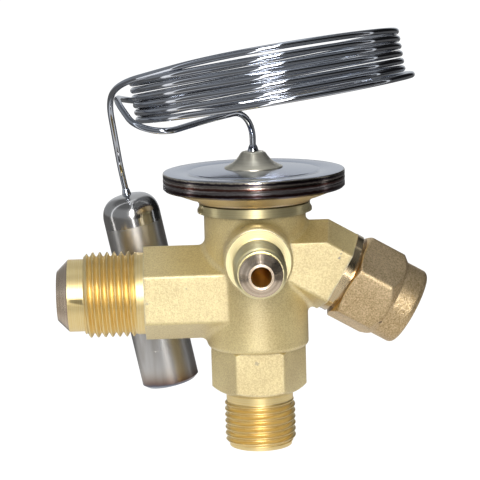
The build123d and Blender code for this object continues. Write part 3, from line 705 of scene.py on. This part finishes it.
def dress(nodeName, *materials, choose=None):
    mesh = nodes[nodeName].data
    mesh.materials.clear()
    for material in materials:
        mesh.materials.append(material)
    kinds = np.zeros(len(mesh.polygons), np.int32)
    if choose:
        corners, directions = surfaceOf(nodeName)
        kinds = choose(corners.mean(axis=1), directions.mean(axis=1)).astype(np.int32)
    mesh.polygons.foreach_set("material_index", kinds)


coverCorner = inMillimetres(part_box("element_cover")[1])
rimRadius, coverHigh = coverCorner[0], coverCorner[2]
diaphragmHigh = inMillimetres(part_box("diaphragm")[1])[2]

coverSteel = makeTurned("coverSteel", "cover")
heatTintAndSheenRim = makeHeatTintAndSheenRim()
bowlPaintedBrassReflection = makeTurned("bowlPaintedBrassReflection", "bowl")
nippleSteel = makeTurned("nippleSteel", "nipple")
capillarySteel = makeCapillarySteel()
bulbSteel = makeBulbSteel()
gasketBlack = makePlain("gasketBlack")
packingWhite = makePlain("packingWhite")
springSteel = makePlain("springSteel")
trunkBrass = makeTurned("trunkBrass", "brass")
spindleBrass = makeTurned("spindleBrass", "brass", spindleAxis, spindleFoot)
trunkSteel = makeTurned("trunkSteel", "steel")
spindleSteel = makeTurned("spindleSteel", "steel", spindleAxis, spindleFoot)
capBronze = makeBlasted("capBronze", capLook)
capFootPaintedReflection = makeTurned("capFootPaintedReflection", "capFootPaintedReflection", spindleAxis, spindleFoot)

baseZones = {"rimWidth": 1.0, "bowlDrop": 0.05, "bowlReach": 11.0, "bowlFacing": 0.3}


def baseKinds(places, normals):
    zones = baseZones
    away = np.linalg.norm(places[:, :2], axis=1)
    kinds = np.where(away > rimRadius - zones["rimWidth"], 1, 0)
    below = (places[:, 2] < rimLook["low"] - zones["bowlDrop"]) & (away > zones["bowlReach"])
    kinds[below & (normals[:, 2] < zones["bowlFacing"])] = 2
    return kinds


dress("element_base", coverSteel, heatTintAndSheenRim, bowlPaintedBrassReflection, choose=baseKinds)
for names, material in (
        (("weld_bead",), heatTintAndSheenRim),
        (("diaphragm",), coverSteel),
        (("bulb_shell", "bulb_end_cap"), bulbSteel),
        (("element_gasket", "rod_seal"), gasketBlack),
        (("gland_packing", "cap_gasket", "orifice_seal"), packingWhite),
        (("pressure_pad", "guide_bush", "spring_seat"), trunkBrass),
        (("orifice_body", "spring_retainer", "strainer_collar"), trunkBrass),
        (("gland_washer", "gland_nut"), spindleBrass),
        (("push_rod", "valve_cone"), trunkSteel),
        (("thrust_pin", "superheat_spindle"), spindleSteel),
        (("strainer_screen",), makeWeave("screenWeave"))):
    for name in names:
        dress(name, material)
print("pieces without a visible shell of their own dressed")


# an outline of radius and height turned round the trunk, shaded smooth across its shallow bends
latheShape = {"steps": 144, "smoothFrom": 0.8}


def lathe(name, outline, materials, kinds=None):
    steps = latheShape["steps"]
    outline = np.array(outline, float)
    run = np.diff(outline, axis=0)
    facing = np.stack([run[:, 1], -run[:, 0]], axis=1)
    facing /= np.linalg.norm(facing, axis=1)[:, None]
    begin, end = facing.copy(), facing.copy()
    for k in range(len(facing) - 1):
        if facing[k] @ facing[k + 1] > latheShape["smoothFrom"]:
            shared = facing[k] + facing[k + 1]
            end[k] = begin[k + 1] = shared / np.linalg.norm(shared)
    angle = np.linspace(0, 2 * math.pi, steps + 1)
    outward = np.stack([np.cos(angle), np.sin(angle), np.zeros(steps + 1)], axis=1)[:, None]
    corners, directions, marks = [], [], []
    for k in range(len(run)):
        reach, level = outline[k:k + 2, 0][None, :, None], outline[k:k + 2, 1][None, :, None]
        lean = np.stack([begin[k], end[k]])
        places = reach * outward + level * trunkAxis
        normals = lean[:, 0][None, :, None] * outward + lean[:, 1][None, :, None] * trunkAxis
        corners.append(gridTriangles(places))
        directions.append(gridTriangles(normals))
        marks.append(np.full(len(corners[-1]), kinds[k] if kinds else 0))
    return meshFrom(name, np.concatenate(corners), np.concatenate(directions), np.concatenate(marks), materials)


coverShape = {
    "dome": 0.7, "domeLift": 0.03, "domeReach": 14.0, "domeRings": 8, "centre": 0.6, "edge": 0.28, "footBevel": 0.5,
    "shoulder": 1.0, "groove": 0.10, "grooveStep": 0.25, "inside": [(2.5, 59.83), (16.1, 59.83), (17.3, 59.5)],
}
nippleShape = [(6.42, 61.5), (6.45, 61.8), (6.38, 61.94), (6.0, 62.1), (5.2, 62.5), (4.45, 63.0), (3.75, 63.62),
               (3.2, 64.3), (2.85, 64.85), (2.6, 65.14), (2.3, 65.29), (1.9, 65.33), (0.6, 65.33)]


def makeCoverPlate():
    look = coverShape
    reach, edge, foot, step = rimRadius, look["edge"], look["footBevel"], look["grooveStep"]
    outline = look["inside"] + [(reach - foot, diaphragmHigh), (reach, diaphragmHigh + foot), (reach, coverHigh - edge)]
    outline += [(reach - edge + edge * math.cos(a), coverHigh - edge + edge * math.sin(a))
                for a in np.radians([30, 60, 90])]
    hold, grooved = look["domeReach"] + look["shoulder"], coverHigh - look["groove"]
    outline += [(hold, coverHigh), (hold - step, grooved), (hold - 2 * step, grooved), (hold - 3 * step, coverHigh)]
    rimKinds = [0] * 2 + [1] * (len(outline) - 7) + [0] * 4
    for k in range(look["domeRings"] + 1):
        share = 1 - k / look["domeRings"]
        level = coverHigh + look["domeLift"] + look["dome"] * (1 - share * share)
        outline.append((max(look["centre"], look["domeReach"] * share), level))
    rimKinds += [0] * (len(outline) - 1 - len(rimKinds))
    plate = lathe("coverPlate", outline, [coverSteel, heatTintAndSheenRim], rimKinds)
    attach(plate, "valve_housing")
    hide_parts("element_cover")


def makeNipple():
    nipple = lathe("brazedNipple", nippleShape, [nippleSteel])
    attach(nipple, "valve_housing")
    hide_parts("capillary_nipple")


makeCoverPlate()
makeNipple()


# the blind cap: a forged hexagon with turned ends, along the spindle from its foot
capShape = {
    "flats": 18.5, "foot": 23.3, "hexEnd": 10.73, "length": 15.95, "collar": 17.7, "turn": 26.0, "corner": 34,
    "footBevel": (9.18, 1.6), "endSlope": 1.2, "endRound": 1.2, "bore": 8.05, "steps": 240,
    "rows": [(0, 1.1, 9), (1.4, 8.0, 12)], "shoulderRows": (8.2, 20), "collarRows": (0.1, 8), "bend": (12, 90, 8),
    "face": (6.8, 0, 6), "footBand": 0.9, "bevelReach": 9.1, "bevelBand": 0.35, "insideReach": 8.2, "endReach": 5.6,
    "endGap": 1.0, "wallReach": 9.3, "wallLean": 0.05,
}


def capKinds(places, normals):
    along, away = alongAndAway(places, spindleAxis, spindleFoot)
    inward = ((places - spindleFoot - along[:, None] * spindleAxis) * normals).sum(axis=1) < 0
    return (away < capShape["insideReach"]) & (inward | (away < capShape["endReach"]))


def capOutside(along, angle, turned):
    look = capShape
    facing = [np.maximum(np.cos(angle - turned - k * math.pi / 3), 0) ** look["corner"] for k in range(6)]
    hexagon = look["flats"] / 2 / sum(facing) ** (1 / look["corner"])
    collar = look["collar"] / 2
    radius = np.minimum(hexagon, look["footBevel"][0] + along * look["footBevel"][1])
    radius = np.minimum(radius, collar + (look["hexEnd"] - along) / look["endSlope"])
    return np.where(along > look["hexEnd"], collar, radius)


def flatsTurn(line):
    corners, directions = surfaceOf("seal_cap")
    points = corners.reshape(-1, 3)
    away = alongAndAway(points, spindleAxis, spindleFoot)[1]
    flank = (directions @ spindleAxis).reshape(-1)
    wall = (away > capShape["wallReach"]) & (np.abs(flank) < capShape["wallLean"])
    facing = directions.reshape(-1, 3)[wall]
    angle = np.arctan2(facing @ line["across"], facing @ line["side"])
    return math.atan2(np.sin(6 * angle).sum(), np.cos(6 * angle).sum()) / 6


def makeCapShell():
    look = capShape
    foot, end, length, endBend = look["foot"], look["hexEnd"], look["length"], look["endRound"]
    side = np.array([0.0, -1.0, 0.0])
    line = {"side": side, "across": np.cross(spindleAxis, side)}
    turned = flatsTurn(line) + math.radians(look["turn"])
    (shoulder, shoulderRows), (collarGap, collarRows) = look["shoulderRows"], look["collarRows"]
    rows = np.concatenate([*(np.linspace(*row) for row in look["rows"]), np.linspace(shoulder, end, shoulderRows),
                           np.linspace(end + collarGap, length - endBend, collarRows)])
    angle = np.linspace(0, 2 * math.pi, look["steps"] + 1)[:, None]
    radius = capOutside(rows[None, :], angle, turned)
    bend, face = np.radians(np.linspace(*look["bend"])), np.linspace(*look["face"])
    closing = np.concatenate([look["collar"] / 2 - endBend + endBend * np.cos(bend), face])
    closed = np.concatenate([length - endBend + endBend * np.sin(bend), np.full(len(face), length)])
    radius = np.concatenate([radius, np.broadcast_to(closing, (len(angle), len(closing)))], axis=1)
    along = np.concatenate([rows, closed])[None, :]
    outward = roundAxis(angle, line["side"], line["across"])[0]
    places = spindleFoot + (foot + along)[..., None] * spindleAxis + radius[..., None] * outward
    lengthways = np.gradient(places, axis=1)
    around = np.gradient(np.concatenate([places[-2:-1], places, places[1:2]]), axis=0)[1:-1]
    normals = np.cross(around, lengthways)
    size = np.linalg.norm(normals, axis=-1)[..., None]
    normals = np.where(size > 1e-9, normals / np.maximum(size, 1e-9), spindleAxis)
    outside = gridTriangles(places)
    outsideAlong, outsideAway = alongAndAway(outside.mean(axis=1), spindleAxis, spindleFoot)
    kinds = np.where(outsideAlong < foot + look["footBand"], 2, 0)
    kinds[(outsideAway > look["bevelReach"]) & (outsideAlong > foot + look["bevelBand"])] = 0
    rim = np.stack([np.full(look["steps"] + 1, look["bore"]), radius[:, 0]], axis=1)[..., None]
    ring = spindleFoot + foot * spindleAxis + rim * outward[:, :1]
    ringCorners = gridTriangles(ring)
    insideCorners, insideDirections = surfaceOf("seal_cap")
    inside = capKinds(insideCorners.mean(axis=1), insideDirections.mean(axis=1))
    insideAlong = alongAndAway(insideCorners.mean(axis=1), spindleAxis, spindleFoot)[0]
    inside &= insideAlong < foot + length - look["endGap"]
    corners = np.concatenate([outside, ringCorners, insideCorners[inside]])
    directions = np.concatenate([gridTriangles(normals), np.broadcast_to(-spindleAxis, ringCorners.shape),
                                 insideDirections[inside]])
    kinds = np.concatenate([kinds, np.full(len(ringCorners), 2), np.ones(int(inside.sum()))])
    shell = meshFrom("capShell", corners, directions, kinds, [capBronze, spindleBrass, capFootPaintedReflection])
    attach(shell, "seal_cap")
    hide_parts("seal_cap")


makeCapShell()


# the capillary: corners of its run, rounded into arcs
tubeRoute = {
    "tube": 1.4, "radius": 29.3, "pitch": 1.5, "fan": 0.37, "flare": 1.9, "turns": 6.625, "offset": 3.5, "rise": 20.35,
    "roll": 8.5, "lean": 5.05, "corners": 8, "bend": 0.47, "bendStep": 2.0, "sides": 32,
    "leadIn": [(0, 0, -1.2), (0, 0, 13.45), (-9.0, -10.5, 12.75), (-19.0, -18.6, 10.85), (-25.6, -15.0, 12.25),
               (-30.0, -3.5, 17.25), (-28.2, 9.5, 15.45), (-20.5, 21.8, 13.25)],
    "leadOut": [(-28.2, -8.6, 20.85), (-31.6, 3.0, 16.45)], "bulbReach": 44.8, "bulbRun": 7.0,
}


def tubeCorners():
    look = tubeRoute
    lift = np.array([0, 0, coverHigh])
    roll, lean = math.radians(look["roll"]), math.radians(look["lean"])
    coilX = np.array([math.cos(roll), 0, math.sin(roll)])
    coilY = np.array([0, math.cos(lean), -math.sin(lean)])
    coilAxis = np.cross(coilX, coilY)
    coilAxis /= np.linalg.norm(coilAxis)
    centre = np.array([look["offset"], 0, coverHigh + look["rise"]])
    corners = [np.array(p) + lift for p in look["leadIn"]]
    for k in range(round(look["turns"] * look["corners"]) + 1):
        turned = 360 / look["corners"] * (k - 0.5)
        angle = math.radians(90 - turned)
        flare = look["flare"] * max(0, math.cos(math.radians(turned - 90))) if turned < 180 else 0
        radius = (look["radius"] + flare) / math.cos(math.pi / look["corners"])
        front = ((1 - math.sin(angle)) / 2) ** 2
        climb = (look["pitch"] + look["fan"] * front) * (turned / 360 - look["turns"] / 2)
        corners.append(centre + coilX * radius * math.cos(angle) + coilY * radius * math.sin(angle) + coilAxis * climb)
    corners += [np.array(p) + lift for p in look["leadOut"]]
    bulbEntry = bulbFoot + bulbUp * look["bulbReach"]
    return corners + [bulbEntry + bulbUp * look["bulbRun"], bulbEntry]


def bentRoute(corners):
    places, ahead = [corners[0]], [corners[1] - corners[0]]
    for before, corner, after in zip(corners, corners[1:], corners[2:]):
        arrive, leave = corner - before, after - corner
        reach = tubeRoute["bend"] * min(np.linalg.norm(arrive), np.linalg.norm(leave))
        arrive, leave = arrive / np.linalg.norm(arrive), leave / np.linalg.norm(leave)
        turn = math.acos(np.clip(arrive @ leave, -1, 1))
        radius = reach / math.tan(turn / 2)
        inward = leave - (arrive @ leave) * arrive
        inward /= np.linalg.norm(inward)
        middle = corner - arrive * reach + inward * radius
        steps = max(2, math.ceil(math.degrees(turn) / tubeRoute["bendStep"]))
        for k in range(steps + 1):
            part = turn * k / steps
            places.append(middle - inward * radius * math.cos(part) + arrive * radius * math.sin(part))
            ahead.append(arrive * math.cos(part) + inward * math.sin(part))
    places.append(corners[-1])
    ahead.append(corners[-1] - corners[-2])
    return np.array(places), np.array([a / np.linalg.norm(a) for a in ahead])


def makeTube():
    places, ahead = bentRoute(tubeCorners())
    across = [np.array([1.0, 0.0, 0.0])]
    for direction in ahead[1:]:
        nextAcross = across[-1] - (across[-1] @ direction) * direction
        across.append(nextAcross / np.linalg.norm(nextAcross))
    across = np.array(across)
    third = np.cross(ahead, across)
    angle = np.linspace(0, 2 * math.pi, tubeRoute["sides"] + 1)[:, None, None]
    outward = np.cos(angle) * across[None] + np.sin(angle) * third[None]
    wall = places[None] + outward * tubeRoute["tube"] / 2
    corners, directions = gridTriangles(wall), gridTriangles(outward)
    tube = meshFrom("capillaryCoil", corners, directions, np.zeros(len(corners)), [capillarySteel])
    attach(tube, "valve_housing")
    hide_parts("capillary_tube")


makeTube()
print("element cover, nipple, cap and capillary made")


# springs copied from their parts' surfaces, each riding its body
springs = {
    "superheatCoil": {
        "node": "superheat_spring", "body": "spring_seat", "joint": "pin_advance", "travel": 2.0, "held": 0},
    "coneCoil": {"node": "cone_spring", "body": "valve_stem", "joint": "stem_stroke", "travel": 0.8, "held": 1},
}


def makeSpring(name):
    look = springs[name]
    corners, directions = surfaceOf(look["node"])
    spring = meshFrom(name, corners, directions, np.zeros(len(corners)), [springSteel])
    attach(spring, look["body"])
    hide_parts(look["node"])
    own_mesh(spring)


for name in springs:
    makeSpring(name)
print("springs made")


# small brazing beads where the tube enters the nipple and the bulb
beads = {"nippleBraze": {"radius": 1.25, "sink": 0.25}, "bulbBraze": {"radius": 1.05, "sink": 0.4}}
beadShape = {"rise": 1.5, "rings": 14, "steps": 40, "swell": 0.8, "tuck": 0.02, "lobes": 3, "lobe": 0.06}


def makeBead(name, place, up):
    look, shape = beads[name], beadShape
    tubeRadius = tubeRoute["tube"] / 2
    side = np.cross(up, np.array([0.0, 1.0, 0.0]))
    side /= np.linalg.norm(side)
    across = np.cross(up, side)
    share = np.linspace(0, 1, shape["rings"] + 1)[None, :]
    angle = np.linspace(0, 2 * math.pi, shape["steps"] + 1)[:, None]
    swell = np.cos(share * math.pi / 2) ** shape["swell"]
    lobes = 1 + shape["lobe"] * np.sin(shape["lobes"] * angle)
    radius = tubeRadius - shape["tuck"] + (look["radius"] - tubeRadius) * swell * lobes
    height = -look["sink"] + (shape["rise"] + look["sink"]) * share
    outward, around = roundAxis(angle, side, across)
    places = place + height[..., None] * up + radius[..., None] * outward
    lengthways = np.gradient(places, axis=1)
    normals = np.cross(around, lengthways)
    normals /= np.linalg.norm(normals, axis=-1)[..., None]
    corners, directions = gridTriangles(places), gridTriangles(normals)
    made = meshFrom(name, corners, directions, np.zeros(len(corners)), [capillarySteel])
    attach(made, "valve_housing")


nippleTop = inMillimetres(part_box("capillary_nipple")[1])[2]
makeBead("nippleBraze", np.array([0, 0, nippleTop]), trunkAxis)
makeBead("bulbBraze", bulbFoot + bulbUp * bulbShape["top"], bulbUp)
print("brazing beads made")


# the studio, in metres and degrees: brightness of each part of the surroundings, and where it fades
studio = {
    "floorDrop": 0.1, "floorReach": 3.0, "floorWhite": 0.97, "floorPaint": 0.16, "floorGrey": (0.6, 0.6, 0.6),
    "floorRoughness": 0.9, "worldLow": 0.22, "worldHigh": 0.80, "worldFrom": (-0.2, 0.9),
    "tentRadius": 1.7, "tentSides": 48, "tentRings": 24, "tentTint": (0.91, 0.95, 1.0),
    "back": 0.66, "left": 0.34, "right": 0.012, "high": 0.17, "top": 1.0, "low": 0.02,
    "backFrom": (150.0, 168.0), "highFrom": (0.50, 0.72), "topFrom": (0.95, 0.985), "lowFrom": (0.02, -0.10),
    "turnFrom": (-14.0, 8.0), "stripCore": 0.5,
    "strips": [{"bearing": 98.0, "half": 3.0, "level": 1.0}, {"bearing": -88.0, "half": 4.0, "level": 1.5},
               {"bearing": 1.0, "half": 4.0, "level": 3.4}],
    "sheetEye": (0, 0, 0.06), "sheetEdge": (0.075, 0.045), "sheetSquash": (0.6, 1.0, 1.0), "sheetLevel": 0.68,
    "boxPlace": (0.0, -0.86, 0.31), "boxAim": (0.0, 0.0, 0.045), "boxSize": (0.16, 0.40), "boxPower": 5.0,
}


def makeSurroundGroup():
    tree, entry, leave = newGroup("surroundings", [("Aim", "Vector", (0, 1, 0))], [("Level", "Float")])
    east, north, rise = addNode(tree, "SeparateXYZ", None, {0: entry.outputs["Aim"]}).outputs
    bearing = maths(tree, "DEGREES", maths(tree, "ARCTAN2", east, maths(tree, "MULTIPLY", north, -1.0)))
    level = remap(tree, bearing, *studio["turnFrom"], studio["left"], studio["right"])
    level = blend(tree, remap(tree, rise, *studio["highFrom"]), level, studio["high"])
    behind = remap(tree, maths(tree, "ABSOLUTE", bearing), *studio["backFrom"])
    level = blend(tree, behind, level, studio["back"])
    level = blend(tree, remap(tree, rise, *studio["topFrom"]), level, studio["top"])
    darker = maths(tree, "MULTIPLY", level, studio["low"] / studio["left"])
    level = blend(tree, remap(tree, rise, *studio["lowFrom"]), level, darker)
    for strip in studio["strips"]:
        off = maths(tree, "ABSOLUTE", maths(tree, "SUBTRACT", bearing, strip["bearing"]))
        inside = remap(tree, off, strip["half"], strip["half"] * studio["stripCore"])
        level = blend(tree, inside, level, strip["level"])
    feed(tree, leave.inputs["Level"], level)
    return tree


surroundGroup = makeSurroundGroup()


# rays that see the floor and the world as plain white, or as a mirror of the studio
def seeingRays(tree):
    seen = addNode(tree, "LightPath").outputs
    rays = maths(tree, "MAXIMUM", seen["Is Camera Ray"], seen["Is Glossy Ray"])
    return seen["Is Glossy Ray"], maths(tree, "MAXIMUM", rays, seen["Is Transmission Ray"])


def makeFloor():
    reach = studio["floorReach"]
    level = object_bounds()[0][2] - studio["floorDrop"] * mm
    mesh = bpy.data.meshes.new("floor")
    mesh.from_pydata([(x, y, level) for x, y in ((-reach, -reach), (reach, -reach), (reach, reach), (-reach, reach))],
                     [], [(0, 1, 2, 3)])
    floor = addObject("floor", mesh)
    material, tree, surface = newMaterial("floorWhite")
    feedAll(tree, surface, {"Base Color": studio["floorGrey"], "Roughness": studio["floorRoughness"]})
    glossy, rays = seeingRays(tree)
    aim = vectors(tree, "NORMALIZE", vectors(tree, "SUBTRACT", objectPlace(tree), studio["sheetEye"]))
    around = placeGroup(tree, surroundGroup, {"Aim": aim})["Level"]
    away = vectors(tree, "LENGTH", vectors(tree, "MULTIPLY", objectPlace(tree), studio["sheetSquash"]))
    mirrored = blend(tree, remap(tree, away, *studio["sheetEdge"]), around, studio["sheetLevel"])
    glow = addNode(tree, "Emission", None, {"Color": blend(tree, glossy, studio["floorWhite"], mirrored)})
    paint = addNode(tree, "BsdfDiffuse", None, {"Color": (studio["floorPaint"],) * 3})
    both = addNode(tree, "AddShader", None, {0: glow.outputs[0], 1: paint.outputs[0]})
    pick = addNode(tree, "MixShader", None, {0: rays, 1: surface.outputs[0], 2: both.outputs[0]})
    out = next(n for n in tree.nodes if n.type == "OUTPUT_MATERIAL")
    feed(tree, out.inputs["Surface"], pick.outputs[0])
    mesh.materials.append(material)


def makeTent():
    mesh = bpy.data.meshes.new("tent")
    tent = addObject("tent", mesh)
    reach, sides, rings = (studio[k] for k in ("tentRadius", "tentSides", "tentRings"))
    places = [(math.cos(2 * math.pi * i / sides) * math.sin(math.pi * j / rings) * reach,
               math.sin(2 * math.pi * i / sides) * math.sin(math.pi * j / rings) * reach,
               math.cos(math.pi * j / rings) * reach) for j in range(1, rings) for i in range(sides)]
    faces = []
    for j in range(rings - 2):
        for i in range(sides):
            here, there = j * sides, (j + 1) * sides
            after = (i + 1) % sides
            faces.append((here + i, here + after, there + after, there + i))
    faces += [tuple(range(sides)), tuple((rings - 2) * sides + i for i in range(sides))]
    mesh.from_pydata(places, [], faces)
    material = bpy.data.materials.new("tentCloth")
    material.use_nodes = True
    tree = material.node_tree
    tree.nodes.clear()
    around = placeGroup(tree, surroundGroup, {"Aim": vectors(tree, "NORMALIZE", objectPlace(tree))})["Level"]
    glow = addNode(tree, "Emission", None, {"Color": scaled(tree, studio["tentTint"], around)})
    addNode(tree, "OutputMaterial", None, {"Surface": glow.outputs[0]})
    mesh.materials.append(material)
    for ray in ("camera", "diffuse", "transmission", "volume_scatter", "shadow"):
        setattr(tent, "visible_" + ray, False)


def makeWorld():
    world = bpy.data.worlds.new("studio")
    bpy.context.scene.world = world
    world.use_nodes = True
    tree = world.node_tree
    tree.nodes.clear()
    rise = addNode(tree, "SeparateXYZ", None, {0: addNode(tree, "TexCoord").outputs["Generated"]}).outputs["Z"]
    fill = remap(tree, rise, *studio["worldFrom"], studio["worldLow"], studio["worldHigh"])
    glow = addNode(tree, "Background", None, {"Color": blend(tree, seeingRays(tree)[1], fill, 1.0)})
    addNode(tree, "OutputWorld", None, {"Surface": glow.outputs[0]})


def makeSoftbox():
    data = bpy.data.lights.new("softbox", "AREA")
    data.shape = "RECTANGLE"
    data.size, data.size_y = studio["boxSize"]
    data.energy = studio["boxPower"]
    lamp = addObject("softbox", data)
    place, aim = Vector(studio["boxPlace"]), Vector(studio["boxAim"])
    lamp.matrix_world = Matrix.Translation(place) @ (aim - place).to_track_quat("-Z", "Y").to_matrix().to_4x4()


makeFloor()
makeTent()
makeWorld()
makeSoftbox()
print("studio made")
